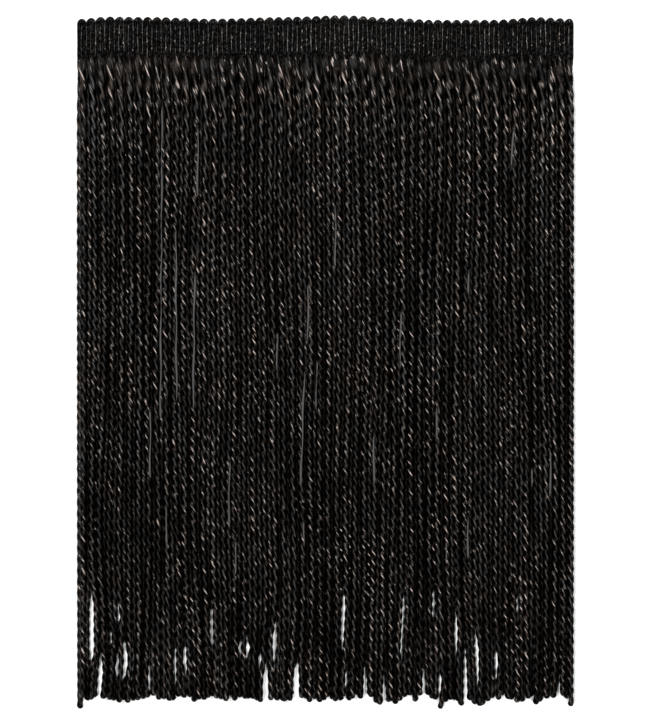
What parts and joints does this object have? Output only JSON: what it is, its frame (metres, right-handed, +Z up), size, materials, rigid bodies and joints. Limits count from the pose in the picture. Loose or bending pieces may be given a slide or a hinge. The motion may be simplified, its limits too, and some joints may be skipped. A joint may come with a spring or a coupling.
{
  "type": "bullion fringe",
  "caption": "Cut length of bullion fringe lying flat: a ribbed heading with a looped edge over a dense skirt of long, loosely parted twisted cords.",
  "frame": {"origin": "on the surface that the fringe lies on, under the middle of its outline", "axes": "+X along the heading, +Y from the hem of the cords up to the heading's looped edge, +Z up from the surface, out of the face side"},
  "size_m": [0.183, 0.2552, 0.0038],
  "materials": {
    "heading_yarn": "black ribbed band of soft yarn with a low sheen and fine glints of copper thread",
    "cord_yarn": "black three-strand twisted yarn with a soft gloss, flecked with fine copper thread"
  },
  "bodies": {
    "root": {"heading": "heading_yarn", "skirt": "cord_yarn"}
  },
  "joints": []
}
